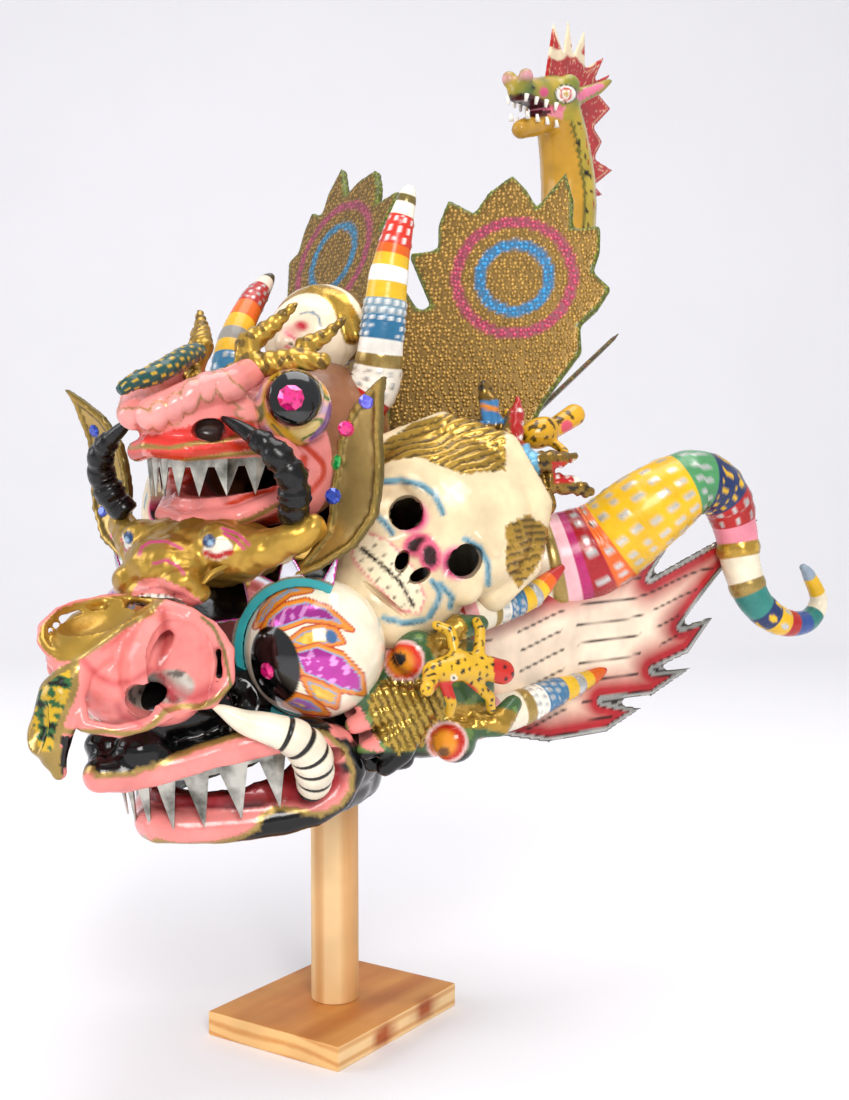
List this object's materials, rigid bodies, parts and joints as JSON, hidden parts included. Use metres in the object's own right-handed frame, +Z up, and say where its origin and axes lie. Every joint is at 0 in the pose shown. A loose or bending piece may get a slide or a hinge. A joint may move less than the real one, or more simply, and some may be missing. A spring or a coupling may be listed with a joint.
{
  "type": "carnival devil mask on a stand",
  "caption": "Painted carnival devil mask with stacked faces, horns, skulls and a dragon, held by a pine stand.",
  "frame": {"origin": "centre of the underside of the stand's board", "axes": "+Z up; the mask faces -Y; +X is the mask's own left side"},
  "size_m": [0.6008, 0.784, 0.881],
  "materials": {
    "pine": "bare pine, sawn and sanded",
    "black_gloss": "black gloss enamel over plaster",
    "pink_gloss": "pink gloss enamel over plaster",
    "gold_paint": "gold paint over plaster or tin",
    "bare_tin": "folded bare tin",
    "cream_gloss": "cream gloss enamel",
    "rainbow": "bands of coloured gloss enamel with dots",
    "red_gloss": "red gloss enamel on tin",
    "olive_paint": "olive, green and gold enamel",
    "mirror": "mirror-silver sheet with magenta edges",
    "yellow_paint": "yellow and red enamel",
    "eye_glass": "cream painted glass bulb",
    "gold_beads": "tiny gold beads glued on card"
  },
  "bodies": {
    "root": {"big_eye_left": "eye_glass", "big_eye_right": "eye_glass", "brow_leaf_left": "gold_paint", "brow_leaf_right": "gold_paint", "dragon": "olive_paint", "dragon_crest": "red_gloss", "eye_lashes_left": "mirror", "eye_lashes_right": "mirror", "gold_brow_left": "gold_paint", "gold_brow_right": "gold_paint", "gold_ear_left": "gold_paint", "gold_ear_right": "gold_paint", "head_shell": "black_gloss", "lizard_left": "yellow_paint", "lizard_right": "yellow_paint", "lower_small_horn_left": "rainbow", "lower_small_horn_right": "rainbow", "lower_teeth_left": "bare_tin", "lower_teeth_right": "bare_tin", "mid_face": "gold_paint", "mini_mask_left": "gold_paint", "mini_mask_right": "gold_paint", "nose": "pink_gloss", "nose_snake": "olive_paint", "rear_wing_left": "gold_beads", "rear_wing_right": "gold_beads", "side_horn_left": "rainbow", "side_horn_right": "rainbow", "skull_left": "cream_gloss", "skull_right": "cream_gloss", "stand_board": "pine", "stand_pole": "pine", "sun_panel_left": "gold_beads", "sun_panel_right": "gold_beads", "third_face": "cream_gloss", "toad_left": "olive_paint", "toad_right": "olive_paint", "top_horn_left": "rainbow", "top_horn_right": "rainbow", "tusk_left": "cream_gloss", "tusk_right": "cream_gloss", "upper_eye_left": "eye_glass", "upper_eye_right": "eye_glass", "upper_head": "pink_gloss", "upper_small_horn_left": "rainbow", "upper_small_horn_right": "rainbow", "upper_teeth": "bare_tin", "upper_tusk_left": "black_gloss", "upper_tusk_right": "black_gloss", "wing_left": "red_gloss", "wing_right": "red_gloss", "yellow_creature_left": "yellow_paint", "yellow_creature_right": "yellow_paint"}
  },
  "joints": []
}
